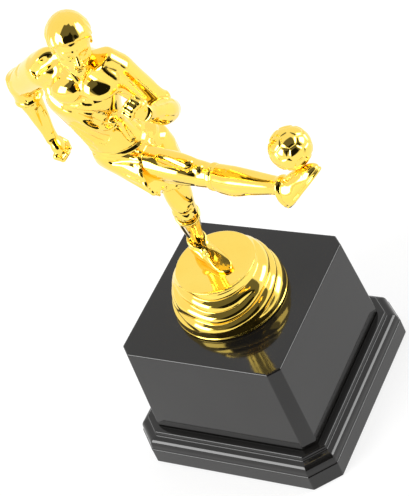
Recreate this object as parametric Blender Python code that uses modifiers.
"""Figure trophy: a football player striking a ball, on a riser bolted to a stepped square base.

Sizes are in millimetres and turned into metres where a mesh is made. The origin is the middle
of the base's underside, +Z is up, +X is the way the player kicks and -Y is the front.
"""
import math

import bmesh
import bpy
from mathutils import Matrix, Vector

MM = 0.001
GAP = 0.3                 # clearance between two pieces that touch
MERGE = 0.00001           # metres
SWELL = 1.08              # a subdivided ring draws in, so it starts this much wider

# ---- base -------------------------------------------------------------------------------
SKIRT_HEIGHT = 17.8
SKIRT_HALF = 51.4
SKIRT_CHAMFER = 10.3
SKIRT_INNER_HALF = 41.9
PLINTH_TOP = 67.75
PLINTH_TOP_HALF = 40.0
PLINTH_FOOT_HALF = 42.8
PLINTH_TOP_CHAMFER = 4.5
PLINTH_FOOT_CHAMFER = 5.0
PLINTH_WALL = 2.6
TONGUE_DEPTH = 5.8        # how far the plinth reaches down inside the skirt
RIM_CLEARANCE = 0.4       # the skirt's rim above the surface that the felt rests on
FELT_THICKNESS = 1.1
FELT_HALF = 40.5
COVER_THICKNESS = 1.8
COVER_HALF = 47.2
BALLAST_HALF = 38.0
BALLAST_HEIGHT = 13.0
SCREW_RADIUS = 1.1
SCREW_HEAD_RADIUS = 2.4
SCREW_LENGTH = 7.5
SCREW_PLACE = 44.4

# ---- clamp between figure and base ------------------------------------------------------
STUD_RADIUS = 3.0
STUD_BOTTOM = 53.0
STUD_TOP = 81.0
WASHER_RADIUS = 9.0
WASHER_THICKNESS = 1.2
LOCK_WASHER_RADIUS = 5.2
LOCK_WASHER_THICKNESS = 1.4
NUT_ACROSS_FLATS = 10.0
NUT_THICKNESS = 5.0
INSERT_RADIUS = 4.6
INSERT_HEIGHT = 9.0

# ---- riser under the figure -------------------------------------------------------------
RISER_TOP = 90.0
RISER_RADIUS = 26.3
RISER_TOP_RADIUS = 18.4
RISER_WALL = 2.0
BOSS_RADIUS = 7.0

# ---- the player's joints ----------------------------------------------------------------
STAND_HEEL = Vector((-14.0, 7.0, 90.0))
STAND_TOE = Vector((10.5, -5.0, 90.0))
STAND_ANKLE = Vector((-8.5, 5.0, 97.5))
STAND_KNEE = Vector((5.5, -7.0, 132.0))
STAND_HIP = Vector((6.0, -5.5, 172.0))
KICK_HIP = Vector((-7.5, -19.0, 178.0))
KICK_KNEE = Vector((36.0, -19.5, 169.5))
KICK_ANKLE = Vector((73.0, -25.5, 174.0))
KICK_FOOT = Vector((0.667, 0.256, 0.701)).normalized()     # heel to toe
KICK_INSTEP = Vector((-0.742, 0.129, 0.658)).normalized()  # sole to laces
HIP_TOP = Vector((-2.0, -16.0, 183.5))
WAIST = Vector((-4.5, -18.5, 195.5))
CHEST = Vector((-2.0, -22.5, 215.0))
NECK = Vector((4.5, -21.5, 228.5))
HEAD = Vector((8.5, -24.3, 244.8))
FACE = Vector((0.62, -0.62, -0.48)).normalized()
RIGHT_SHOULDER = Vector((-14.0, -21.0, 224.5))
RIGHT_ELBOW = Vector((-39.0, -16.0, 207.5))
RIGHT_WRIST = Vector((-35.0, -15.5, 182.0))
RIGHT_HAND = Vector((-33.5, -16.0, 175.0))
LEFT_SHOULDER = Vector((17.5, -21.0, 228.5))
LEFT_ELBOW = Vector((25.0, -14.5, 201.5))
LEFT_WRIST = Vector((31.0, -29.5, 213.0))
LEFT_HAND = Vector((28.5, -31.5, 217.0))
BALL_RADIUS = 8.4
BALL = KICK_ANKLE + KICK_FOOT * 16.8 + KICK_INSTEP * 6.4

COLLECTION = "figure_trophy"
UP = Vector((0.0, 0.0, 1.0))


# ---- scene ------------------------------------------------------------------------------
def clear_scene():
    """Remove the objects that a new file starts with."""
    for item in list(bpy.data.objects):
        bpy.data.objects.remove(item, do_unlink=True)


def new_collection(name):
    group = bpy.data.collections.new(name)
    bpy.context.scene.collection.children.link(group)
    return group


def make_material(name, colour, roughness, metallic):
    material = bpy.data.materials.new(name)
    material.use_nodes = True
    shader = material.node_tree.nodes["Principled BSDF"]
    shader.inputs["Base Color"].default_value = (*colour, 1.0)
    shader.inputs["Roughness"].default_value = roughness
    shader.inputs["Metallic"].default_value = metallic
    material.diffuse_color = (*colour, 1.0)
    return material


def make_object(name, mesh, material, collection):
    item = bpy.data.objects.new(name, mesh)
    collection.objects.link(item)
    if material:
        mesh.materials.append(material)
    return item


def mesh_from(builder, name):
    """Finish a bmesh: outward faces, smooth shading, metres."""
    bmesh.ops.recalc_face_normals(builder, faces=builder.faces)
    for face in builder.faces:
        face.smooth = True
    builder.transform(Matrix.Scale(MM, 4))
    mesh = bpy.data.meshes.new(name)
    builder.to_mesh(mesh)
    builder.free()
    mesh.set_sharp_from_angle(angle=math.radians(40))
    return mesh


def make_cutter(name, mesh, cutters):
    cutter = make_object(name, mesh, None, cutters)
    cutter.hide_render = True
    cutter.display_type = "WIRE"
    return cutter


def add_boolean(item, cutter, operation="DIFFERENCE"):
    modifier = item.modifiers.new(cutter.name, "BOOLEAN")
    modifier.operation = operation
    modifier.object = cutter
    modifier.solver = "EXACT"


def add_subdivision(item, levels=1):
    modifier = item.modifiers.new("smooth_form", "SUBSURF")
    modifier.levels = levels
    modifier.render_levels = levels


# ---- shapes -----------------------------------------------------------------------------
def octagon(half, chamfer, height):
    """A square with cut corners, counter-clockwise."""
    flat = half - chamfer
    corners = [(half, flat), (flat, half), (-flat, half), (-half, flat),
               (-half, -flat), (-flat, -half), (flat, -half), (half, -flat)]
    return [Vector((x, y, height)) for x, y in corners]


def bridge_rings(builder, rings, first_cap=True, last_cap=True, closed=False):
    """Join rings of equal point counts with quads."""
    loops = [[builder.verts.new(point) for point in ring] for ring in rings]
    pairs = list(zip(loops, loops[1:]))
    if closed:
        pairs.append((loops[-1], loops[0]))
    count = len(loops[0])
    for low, high in pairs:
        for index in range(count):
            after = (index + 1) % count
            builder.faces.new((low[index], low[after], high[after], high[index]))
    if first_cap and not closed:
        builder.faces.new(loops[0])
    if last_cap and not closed:
        builder.faces.new(loops[-1])


def octagon_stack(name, levels, closed=False):
    """A chamfered square form from (half width, chamfer, height) levels."""
    builder = bmesh.new()
    bridge_rings(builder, [octagon(*level) for level in levels], closed=closed)
    return mesh_from(builder, name)


def limb_mesh(name, stations, side, grow=0.0, sides=8, flat=0.0):
    """A loft of oval rings; a station is (centre, half width, half depth).

    side is the direction of the width, grow swells the form for cutting its socket, and
    flat squares the ovals off.
    """
    centres = [Vector(station[0]) for station in stations]
    count = len(centres)
    rings = []
    for index, (centre, half_width, half_depth) in enumerate(stations):
        before = centres[max(index - 1, 0)]
        after = centres[min(index + 1, count - 1)]
        along = (after - before).normalized()
        across = (Vector(side) - along * along.dot(Vector(side))).normalized()
        front = along.cross(across)
        centre = Vector(centre)
        if index == 0:
            centre = centre - along * grow
        if index == count - 1:
            centre = centre + along * grow
        ring = []
        for step in range(sides):
            angle = 2.0 * math.pi * (step + 0.5) / sides
            power = 1.0 - flat
            x = math.copysign(abs(math.cos(angle)) ** power, math.cos(angle))
            y = math.copysign(abs(math.sin(angle)) ** power, math.sin(angle))
            wide = half_width * SWELL + grow
            deep = half_depth * SWELL + grow
            ring.append(centre + across * x * wide + front * y * deep)
        rings.append(ring)
    builder = bmesh.new()
    bridge_rings(builder, rings)
    return mesh_from(builder, name)


def limb(name, stations, side, material, collection, flat=0.0):
    item = make_object(name, limb_mesh(name, stations, side, flat=flat), material, collection)
    add_subdivision(item)
    return item


def socket_cutter(name, stations, side, cutters, flat=0.0):
    """The same form as a limb, swollen by the clearance."""
    mesh = limb_mesh(name, stations, side, grow=GAP * 1.2, flat=flat)
    cutter = make_cutter(name, mesh, cutters)
    add_subdivision(cutter)
    return cutter


def turned(name, profile, material, collection, steps=40):
    """A turned form: the (radius, height) profile runs down its outer side."""
    mesh = bpy.data.meshes.new(name)
    points = [(radius * MM, 0.0, height * MM) for radius, height in profile]
    edges = [(index, index + 1) for index in range(len(points) - 1)]
    closed = profile[0][0] > 0.0
    if closed:
        edges.append((len(points) - 1, 0))
    mesh.from_pydata(points, edges, [])
    item = make_object(name, mesh, material, collection)
    screw = item.modifiers.new("turn", "SCREW")
    screw.steps = steps
    screw.render_steps = steps
    screw.use_merge_vertices = True
    screw.merge_threshold = MERGE
    screw.use_normal_calculate = False
    return item


def ball_mesh(name, centre, radius, detail):
    builder = bmesh.new()
    bmesh.ops.create_icosphere(builder, subdivisions=detail, radius=radius)
    bmesh.ops.translate(builder, verts=builder.verts, vec=centre)
    return mesh_from(builder, name)


def cylinder_cutter(name, centre, radius, height, cutters, segments=32):
    builder = bmesh.new()
    bmesh.ops.create_cone(builder, cap_ends=True, segments=segments,
                          radius1=radius, radius2=radius, depth=height)
    bmesh.ops.translate(builder, verts=builder.verts, vec=centre)
    return make_cutter(name, mesh_from(builder, name), cutters)


def between(start, end, share):
    return start.lerp(end, share)


# ---- base -------------------------------------------------------------------------------
def build_skirt(material, parts, cutters):
    """The stepped moulding: flat band, round, cove and ledge, with a seat for the cover."""
    seat = RIM_CLEARANCE + COVER_THICKNESS + 2.0 * GAP + FELT_THICKNESS
    ledge_step = 9.0
    levels = [
        (SKIRT_HALF, SKIRT_CHAMFER, RIM_CLEARANCE),
        (SKIRT_HALF - 0.3, 10.2, 9.6),
        (SKIRT_HALF - 0.9, 10.0, 10.0),
        (SKIRT_HALF - 0.9, 9.9, 11.4),
        (SKIRT_HALF - 1.5, 9.6, 13.0),
        (SKIRT_HALF - 2.9, 9.0, 14.5),
        (SKIRT_HALF - 4.4, 8.4, 15.1),
        (SKIRT_HALF - 4.8, 8.2, 15.7),
        (SKIRT_HALF - 5.0, 8.0, 17.3),
        (SKIRT_HALF - 5.5, 7.8, SKIRT_HEIGHT),
        (SKIRT_INNER_HALF, 5.0, SKIRT_HEIGHT),
        (SKIRT_INNER_HALF, 5.0, SKIRT_HEIGHT - TONGUE_DEPTH - 1.0),
        (SKIRT_INNER_HALF, 5.0, ledge_step),
        (SKIRT_INNER_HALF, 5.0, seat),
        (COVER_HALF + GAP, 8.6, seat),
        (COVER_HALF + GAP, 8.6, RIM_CLEARANCE),
    ]
    skirt = make_object("plinth_skirt", octagon_stack("plinth_skirt", levels, closed=True),
                        material, parts)
    for index, place in enumerate(screw_places()):
        centre = Vector((place.x, place.y, seat))
        hole = cylinder_cutter(f"cut_screw_{index + 1}", centre, SCREW_RADIUS + GAP,
                               2.0 * SCREW_LENGTH, cutters, segments=16)
        add_boolean(skirt, hole)
    return skirt


def build_plinth(material, parts, cutters):
    """The tall block: one drafted shell, open below, with a tongue that drops in the skirt."""
    tongue_half = SKIRT_INNER_HALF - GAP
    foot = SKIRT_HEIGHT + GAP
    tongue_foot = SKIRT_HEIGHT - TONGUE_DEPTH
    levels = [
        (PLINTH_TOP_HALF - 0.4, PLINTH_TOP_CHAMFER, PLINTH_TOP),
        (PLINTH_TOP_HALF, PLINTH_TOP_CHAMFER, PLINTH_TOP - 0.4),
        (PLINTH_FOOT_HALF, PLINTH_FOOT_CHAMFER, foot),
        (tongue_half, PLINTH_FOOT_CHAMFER, foot),
        (tongue_half, PLINTH_FOOT_CHAMFER, tongue_foot),
        (tongue_half - PLINTH_WALL, PLINTH_FOOT_CHAMFER - 1.0, tongue_foot),
        (PLINTH_TOP_HALF - PLINTH_WALL, PLINTH_TOP_CHAMFER - 1.0, PLINTH_TOP - PLINTH_WALL),
    ]
    plinth = make_object("plinth_block", octagon_stack("plinth_block", levels), material, parts)
    hole = cylinder_cutter("cut_stud_hole", Vector((0, 0, PLINTH_TOP)), STUD_RADIUS + 2.0 * GAP,
                           4.0 * PLINTH_WALL, cutters)
    add_boolean(plinth, hole)
    return plinth


def screw_places():
    quarter_turns = range(4)
    return [Matrix.Rotation(turn * math.pi / 2.0, 3, "Z") @ Vector((SCREW_PLACE, 0.0, 0.0))
            for turn in quarter_turns]


def build_underside(materials, parts, cutters):
    """Felt, cover, its screws and the ballast that stands on it."""
    felt = octagon_stack("felt_pad", [(FELT_HALF, 6.0, 0.0), (FELT_HALF, 6.0, FELT_THICKNESS)])
    make_object("felt_pad", felt, materials["felt"], parts)

    low = FELT_THICKNESS + GAP
    high = low + COVER_THICKNESS
    cover = octagon_stack("bottom_cover", [(COVER_HALF, 8.4, low), (COVER_HALF, 8.4, high)])
    cover = make_object("bottom_cover", cover, materials["cover"], parts)
    for index, place in enumerate(screw_places()):
        head_top = low + 1.0
        profile = [(0.0, low), (SCREW_HEAD_RADIUS, low), (SCREW_HEAD_RADIUS, low + 0.4),
                   (SCREW_RADIUS, head_top + 0.6), (SCREW_RADIUS, low + SCREW_LENGTH - 1.0),
                   (0.0, low + SCREW_LENGTH)]
        screw = turned(f"cover_screw_{index + 1}", profile[::-1], materials["steel"], parts, 16)
        screw.location = place * MM
        grown = [(0.0, low - 1.0), (SCREW_HEAD_RADIUS + GAP, low - 1.0),
                 (SCREW_HEAD_RADIUS + GAP, low + 0.4 + GAP), (SCREW_RADIUS + GAP, head_top + 0.9),
                 (SCREW_RADIUS + GAP, high + 1.0), (0.0, high + 1.0)]
        sink = turned(f"cut_cover_{index + 1}", grown[::-1], None, cutters, 16)
        sink.location = place * MM
        sink.hide_render = True
        sink.display_type = "WIRE"
        add_boolean(cover, sink)

    low = high + GAP
    ballast = octagon_stack("ballast_block", [(BALLAST_HALF, 4.0, low),
                                              (BALLAST_HALF, 4.0, low + BALLAST_HEIGHT - 1.0),
                                              (BALLAST_HALF - 1.0, 4.0, low + BALLAST_HEIGHT)])
    make_object("ballast_block", ballast, materials["iron"], parts)


def build_clamp(materials, parts):
    """Stud, insert, washers and nut on the base's axis."""
    stud = [(0.0, STUD_TOP), (STUD_RADIUS - 0.5, STUD_TOP), (STUD_RADIUS, STUD_TOP - 0.8),
            (STUD_RADIUS, STUD_BOTTOM + 0.8), (STUD_RADIUS - 0.5, STUD_BOTTOM), (0.0, STUD_BOTTOM)]
    turned("threaded_stud", stud, materials["steel"], parts, 24)

    bore = STUD_RADIUS + GAP
    top = PLINTH_TOP - PLINTH_WALL - GAP
    low = top - WASHER_THICKNESS
    washer = [(bore, top), (WASHER_RADIUS, top), (WASHER_RADIUS, low), (bore, low)]
    turned("plain_washer", washer, materials["steel"], parts, 32)

    top = low - GAP
    low = top - LOCK_WASHER_THICKNESS
    lock = [(bore, top), (LOCK_WASHER_RADIUS, top), (LOCK_WASHER_RADIUS, low), (bore, low)]
    turned("lock_washer", lock, materials["steel"], parts, 32)

    top = low - GAP
    builder = bmesh.new()
    corner_radius = NUT_ACROSS_FLATS / math.sqrt(3.0)
    outer = []
    inner = []
    for height in (top, top - NUT_THICKNESS):
        outer.append(ring_points(6, 4, corner_radius, height))
        inner.append(ring_points(24, 1, bore, height))
    bridge_rings(builder, [inner[0], outer[0], outer[1], inner[1]], closed=True)
    make_object("hex_nut", mesh_from(builder, "hex_nut"), materials["steel"], parts)

    low = PLINTH_TOP + 2.0 * GAP
    top = low + INSERT_HEIGHT
    insert = [(bore, top), (INSERT_RADIUS, top), (INSERT_RADIUS, low), (bore, low)]
    turned("riser_insert", insert, materials["brass"], parts, 32)


def ring_points(corners, per_side, radius, height):
    """Points round a regular polygon, evenly spaced along each side."""
    points = []
    for corner in range(corners):
        start = 2.0 * math.pi * corner / corners
        end = 2.0 * math.pi * (corner + 1) / corners
        first = Vector((math.cos(start), math.sin(start), 0.0)) * radius
        second = Vector((math.cos(end), math.sin(end), 0.0)) * radius
        for step in range(per_side):
            point = first.lerp(second, step / per_side)
            point.z = height
            points.append(point)
    return points


def build_riser(material, parts):
    """The mound: a hollow turned form of stacked rolls, with a boss for the insert."""
    foot = PLINTH_TOP + GAP
    ceiling = RISER_TOP - RISER_WALL
    hole = INSERT_RADIUS + GAP
    profile = [
        (0.0, RISER_TOP),
        (RISER_TOP_RADIUS - 1.2, RISER_TOP),
        (RISER_TOP_RADIUS, RISER_TOP - 0.9),
        (19.2, RISER_TOP - 2.6),
        (21.4, RISER_TOP - 4.6),
        (22.2, RISER_TOP - 6.6),
        (24.0, RISER_TOP - 8.4),
        (24.9, RISER_TOP - 10.6),
        (25.9, RISER_TOP - 12.6),
        (26.3, RISER_TOP - 15.0),
        (RISER_RADIUS - 0.4, foot + 2.0),
        (RISER_RADIUS, foot),
        (RISER_RADIUS - 2.0, foot),
        (RISER_RADIUS - 2.4, foot + 4.0),
        (RISER_TOP_RADIUS - 0.5, ceiling - 2.0),
        (RISER_TOP_RADIUS - 3.0, ceiling),
        (BOSS_RADIUS, ceiling),
        (BOSS_RADIUS, foot),
        (hole, foot),
        (hole, STUD_TOP + 2.0),
        (0.0, STUD_TOP + 2.0),
    ]
    return turned("riser_mound", profile, material, parts, 40)


# ---- player -----------------------------------------------------------------------------
LEG_SIDE = Vector((0.66, 0.70, -0.29))
ARM_SIDE = Vector((0.0, 1.0, 0.0))
KICK_SIDE = KICK_FOOT.cross(KICK_INSTEP)


def standing_leg_stations():
    shin = (STAND_ANKLE, STAND_KNEE)
    thigh = (STAND_KNEE, STAND_HIP)
    sock = [(between(*shin, 0.02), 3.0, 3.2), (between(*shin, 0.15), 3.5, 3.7),
            (between(*shin, 0.42), 4.5, 5.0), (between(*shin, 0.66), 4.9, 5.3),
            (between(*shin, 0.84), 4.9, 5.3), (between(*shin, 0.91), 5.3, 5.6)]
    leg = [(between(*shin, 0.80), 3.4, 3.6), (between(*shin, 0.92), 4.2, 4.4),
           (between(*thigh, 0.02), 5.0, 5.4), (between(*thigh, 0.22), 5.0, 5.3),
           (between(*thigh, 0.45), 5.8, 6.2), (between(*thigh, 0.66), 6.2, 6.4)]
    return sock, leg


def kicking_leg_stations():
    shin = (KICK_KNEE, KICK_ANKLE)
    thigh = (KICK_HIP, KICK_KNEE)
    leg = [(between(*thigh, 0.36), 6.2, 6.4), (between(*thigh, 0.58), 6.2, 6.6),
           (between(*thigh, 0.80), 5.3, 5.6), (between(*shin, 0.02), 4.6, 4.9),
           (between(*shin, 0.10), 3.9, 4.1), (between(*shin, 0.20), 3.4, 3.5)]
    sock = [(between(*shin, 0.06), 4.9, 5.2), (between(*shin, 0.14), 5.0, 5.4),
            (between(*shin, 0.36) - UP * 0.6, 5.2, 6.0), (between(*shin, 0.62) - UP * 0.4, 4.4, 5.0),
            (between(*shin, 0.86), 3.6, 3.8), (between(*shin, 1.0), 3.0, 3.1)]
    return sock, leg


def boot_stations(ankle, forward, instep, reach):
    """The foot of a boot from heel to toe; reach stretches it."""
    heel = ankle - forward * 6.2 - instep * 3.6
    return [(heel, 2.6, 3.2),
            (heel + forward * 3.0 * reach - instep * 0.1, 4.0, 4.0),
            (heel + forward * 9.5 * reach + instep * 0.3, 4.0, 4.3),
            (heel + forward * 16.0 * reach - instep * 0.8, 4.6, 3.3),
            (heel + forward * 22.0 * reach - instep * 1.4, 4.4, 2.6),
            (heel + forward * 26.0 * reach - instep * 1.7, 2.8, 2.0)]


def build_boot(name, ankle, forward, instep, leg_axis, reach, material, parts, cutters):
    """The foot, joined to the cuff that rises round the ankle."""
    side = forward.cross(instep)
    foot = boot_stations(ankle, forward, instep, reach)
    boot = limb(name, foot, side, material, parts, flat=0.25)
    cuff = [(ankle - instep * 3.4, 4.2, 4.4), (ankle + leg_axis * 1.0, 4.5, 4.9),
            (ankle + leg_axis * 4.2, 4.4, 4.7)]
    cuff_form = make_cutter(f"add_{name}_cuff", limb_mesh("cuff", cuff, side), cutters)
    add_subdivision(cuff_form)
    add_boolean(boot, cuff_form, "UNION")
    return boot


def build_legs(gold, parts, cutters):
    standing_sock, standing_thigh = standing_leg_stations()
    kicking_sock, kicking_thigh = kicking_leg_stations()
    stand_axis = (STAND_KNEE - STAND_ANKLE).normalized()
    kick_axis = (KICK_KNEE - KICK_ANKLE).normalized()
    stand_forward = (STAND_TOE - STAND_HEEL).normalized()

    boot = build_boot("standing_boot", STAND_ANKLE, stand_forward, UP, stand_axis,
                      1.0, gold, parts, cutters)
    add_boolean(boot, socket_cutter("cut_standing_sock", standing_sock, LEG_SIDE, cutters))
    sole = cylinder_cutter("cut_standing_sole", Vector((0, 0, RISER_TOP + GAP - 10.0)), 40.0,
                           20.0, cutters)
    add_boolean(boot, sole)

    sock = limb("standing_sock", standing_sock, LEG_SIDE, gold, parts)
    add_boolean(sock, socket_cutter("cut_standing_thigh", standing_thigh, LEG_SIDE, cutters))
    thigh = limb("standing_thigh", standing_thigh, LEG_SIDE, gold, parts)

    kick_boot = build_boot("kicking_boot", KICK_ANKLE, KICK_FOOT, KICK_INSTEP, kick_axis,
                           0.9, gold, parts, cutters)
    add_boolean(kick_boot, socket_cutter("cut_kicking_sock", kicking_sock, KICK_SIDE, cutters))
    seat = make_cutter("cut_ball_seat", ball_mesh("seat", BALL, BALL_RADIUS + GAP, 3), cutters)
    add_boolean(kick_boot, seat)

    kick_sock = limb("kicking_sock", kicking_sock, KICK_SIDE, gold, parts)
    add_boolean(kick_sock, socket_cutter("cut_kicking_knee", kicking_thigh, KICK_SIDE, cutters))
    kick_thigh = limb("kicking_thigh", kicking_thigh, KICK_SIDE, gold, parts)
    return thigh, kick_thigh


def shorts_stations():
    """Hips, and the two wide legs of the shorts."""
    hip_middle = between(STAND_HIP, KICK_HIP, 0.5)
    hips = [(hip_middle - UP * 6.0, 8.6, 6.4), (hip_middle + UP * 1.5, 13.4, 9.4),
            (HIP_TOP - UP * 1.5, 12.2, 8.8), (between(HIP_TOP, WAIST, 0.30), 10.4, 7.6),
            (between(HIP_TOP, WAIST, 0.60), 8.6, 6.2), (between(HIP_TOP, WAIST, 0.85), 7.4, 5.4)]
    drop = Vector((0.0, -0.4, -1.0))
    kick_leg = [(between(KICK_HIP, KICK_KNEE, -0.12), 6.6, 7.0),
                (between(KICK_HIP, KICK_KNEE, 0.06), 8.2, 8.6),
                (between(KICK_HIP, KICK_KNEE, 0.26) + drop * 1.6, 8.0, 9.2),
                (between(KICK_HIP, KICK_KNEE, 0.42) + drop * 2.8, 8.0, 9.8),
                (between(KICK_HIP, KICK_KNEE, 0.51) + drop * 3.6, 7.8, 9.8)]
    stand_leg = [(between(STAND_HIP, STAND_KNEE, -0.10), 5.8, 6.2),
                 (between(STAND_HIP, STAND_KNEE, 0.08), 7.4, 7.8),
                 (between(STAND_HIP, STAND_KNEE, 0.30), 7.5, 8.0),
                 (between(STAND_HIP, STAND_KNEE, 0.47), 7.8, 8.2)]
    return hips, kick_leg, stand_leg


def build_shorts(gold, parts, cutters):
    hips, kick_leg, stand_leg = shorts_stations()
    shorts = limb("shorts", hips, LEG_SIDE, gold, parts)
    for name, stations in (("kick", kick_leg), ("stand", stand_leg)):
        side = KICK_SIDE if name == "kick" else LEG_SIDE
        form = make_cutter(f"add_shorts_{name}", limb_mesh(name, stations, side), cutters)
        add_subdivision(form)
        add_boolean(shorts, form, "UNION")
    standing_thigh = standing_leg_stations()[1]
    kicking_thigh = kicking_leg_stations()[1]
    add_boolean(shorts, socket_cutter("cut_stand_leg", standing_thigh, LEG_SIDE, cutters))
    add_boolean(shorts, socket_cutter("cut_kick_leg", kicking_thigh, KICK_SIDE, cutters))
    return shorts


def shirt_stations():
    return [(HIP_TOP + UP * 0.5, 12.6, 9.8), (between(HIP_TOP, WAIST, 0.45), 12.2, 9.4),
            (between(HIP_TOP, WAIST, 0.95), 12.0, 9.0), (between(WAIST, CHEST, 0.50), 13.4, 9.4),
            (CHEST, 15.8, 10.4), (between(CHEST, NECK, 0.50), 15.4, 9.4),
            (between(CHEST, NECK, 0.82), 11.6, 7.6), (NECK + UP * 1.4, 7.0, 6.4)]


SHOULDER_SIDE = Vector((0.97, 0.20, 0.12))


def neck_stations():
    return [(between(NECK, HEAD, -0.25), 3.6, 3.8), (between(NECK, HEAD, 0.1), 5.2, 5.4),
            (between(NECK, HEAD, 0.5), 5.2, 5.8), (HEAD, 4.4, 5.4)]


def sleeve_stations(shoulder, elbow):
    return [(between(shoulder, elbow, -0.14), 5.6, 5.6), (between(shoulder, elbow, 0.08), 7.6, 7.6),
            (between(shoulder, elbow, 0.40), 7.0, 7.0), (between(shoulder, elbow, 0.72), 6.2, 6.2),
            (between(shoulder, elbow, 0.92), 6.2, 6.2)]


def bent_sleeve_stations(shoulder, elbow):
    """A sleeve that runs right over a sharply bent elbow."""
    return [(between(shoulder, elbow, -0.12), 5.2, 5.2), (between(shoulder, elbow, 0.08), 6.8, 6.8),
            (between(shoulder, elbow, 0.42), 5.8, 5.8), (between(shoulder, elbow, 0.74), 5.2, 5.2),
            (between(shoulder, elbow, 1.04), 5.2, 5.2), (between(shoulder, elbow, 1.18), 3.4, 3.4)]


def forearm_stations(shoulder, elbow, wrist):
    return [(between(shoulder, elbow, 0.74), 3.6, 3.6), (between(shoulder, elbow, 0.92), 4.6, 4.6),
            (between(elbow, wrist, 0.08), 5.2, 5.0), (between(elbow, wrist, 0.34), 5.0, 4.8),
            (between(elbow, wrist, 0.70), 4.2, 4.0), (between(elbow, wrist, 0.96), 3.4, 3.2)]


def bent_forearm_stations(elbow, wrist):
    return [(between(elbow, wrist, 0.0), 3.6, 3.6), (between(elbow, wrist, 0.16), 4.2, 4.2),
            (between(elbow, wrist, 0.44), 4.5, 4.5), (between(elbow, wrist, 0.74), 3.6, 3.6),
            (between(elbow, wrist, 0.96), 3.0, 3.0)]


def hand_stations(wrist, hand):
    along = (hand - wrist).normalized()
    return [(wrist - along * 2.6, 1.9, 1.7), (wrist, 2.8, 2.4), (wrist + along * 2.0, 4.4, 3.6),
            (hand + along * 1.0, 5.0, 4.0), (hand + along * 3.6, 3.8, 3.2)]


def build_shirt(gold, parts, cutters):
    shirt = limb("shirt", shirt_stations(), SHOULDER_SIDE, gold, parts)
    hips = shorts_stations()[0]
    add_boolean(shirt, socket_cutter("cut_waist", hips, LEG_SIDE, cutters))
    add_boolean(shirt, socket_cutter("cut_neck", neck_stations(), SHOULDER_SIDE, cutters))
    return shirt


def build_head(gold, parts, cutters):
    """A plain head on a neck; the hair is moulded with it."""
    head = limb("head", neck_stations(), SHOULDER_SIDE, gold, parts)
    crown = (HEAD - NECK).normalized()
    upright = (crown - FACE * crown.dot(FACE)).normalized()
    skull_middle = HEAD + upright * 1.6
    chin = HEAD - upright * 8.6 + FACE * 4.2
    side = FACE.cross(upright)
    skull = [(chin - upright * 1.2, 2.4, 2.2), (chin + upright * 2.2 - FACE * 1.0, 5.4, 5.6),
             (skull_middle - upright * 2.4 + FACE * 0.6, 8.0, 9.2),
             (skull_middle + upright * 3.4, 8.9, 10.2),
             (skull_middle + upright * 7.4 - FACE * 0.4, 7.0, 8.2),
             (skull_middle + upright * 9.8 - FACE * 0.6, 3.0, 3.6)]
    form = make_cutter("add_skull", limb_mesh("skull", skull, side), cutters)
    add_subdivision(form)
    add_boolean(head, form, "UNION")
    return head


def build_arm(prefix, sleeve_form, forearm_form, hand_form, shirt, gold, parts, cutters):
    """Sleeve, forearm and fist, each plugged in the piece above it."""
    sleeve = limb(f"{prefix}_sleeve", sleeve_form, ARM_SIDE, gold, parts)
    forearm = limb(f"{prefix}_forearm", forearm_form, ARM_SIDE, gold, parts)
    limb(f"{prefix}_hand", hand_form, ARM_SIDE, gold, parts)
    add_boolean(shirt, socket_cutter(f"cut_{prefix}_sleeve", sleeve_form, ARM_SIDE, cutters))
    add_boolean(sleeve, socket_cutter(f"cut_{prefix}_arm", forearm_form, ARM_SIDE, cutters))
    add_boolean(forearm, socket_cutter(f"cut_{prefix}_hand", hand_form, ARM_SIDE, cutters))


def build_arms(shirt, gold, parts, cutters):
    sleeve = sleeve_stations(RIGHT_SHOULDER, RIGHT_ELBOW)
    forearm = forearm_stations(RIGHT_SHOULDER, RIGHT_ELBOW, RIGHT_WRIST)
    hand = hand_stations(RIGHT_WRIST, RIGHT_HAND)
    build_arm("right", sleeve, forearm, hand, shirt, gold, parts, cutters)
    sleeve = bent_sleeve_stations(LEFT_SHOULDER, LEFT_ELBOW)
    forearm = bent_forearm_stations(LEFT_ELBOW, LEFT_WRIST)
    hand = hand_stations(LEFT_WRIST, LEFT_HAND)
    build_arm("left", sleeve, forearm, hand, shirt, gold, parts, cutters)


def build_ball(gold, parts):
    return make_object("ball", ball_mesh("ball", BALL, BALL_RADIUS, 2), gold, parts)


# ---- assembly ---------------------------------------------------------------------------
def main():
    clear_scene()
    parts = new_collection(COLLECTION)
    cutters = new_collection("cutters")
    gold = make_material("metallised_gold", (0.95, 0.66, 0.16), 0.12, 1.0)
    black = make_material("black_gloss_plastic", (0.02, 0.02, 0.022), 0.12, 0.0)
    materials = {
        "felt": make_material("green_black_felt", (0.02, 0.03, 0.025), 0.95, 0.0),
        "cover": make_material("black_board", (0.03, 0.03, 0.03), 0.6, 0.0),
        "iron": make_material("cast_iron", (0.12, 0.12, 0.12), 0.6, 1.0),
        "steel": make_material("zinc_plated_steel", (0.66, 0.67, 0.69), 0.3, 1.0),
        "brass": make_material("brass", (0.75, 0.58, 0.28), 0.3, 1.0),
    }
    build_plinth(black, parts, cutters)
    build_skirt(black, parts, cutters)
    build_underside(materials, parts, cutters)
    build_clamp(materials, parts)
    build_riser(gold, parts)
    build_legs(gold, parts, cutters)
    build_shorts(gold, parts, cutters)
    shirt = build_shirt(gold, parts, cutters)
    build_head(gold, parts, cutters)
    build_arms(shirt, gold, parts, cutters)
    build_ball(gold, parts)


main()
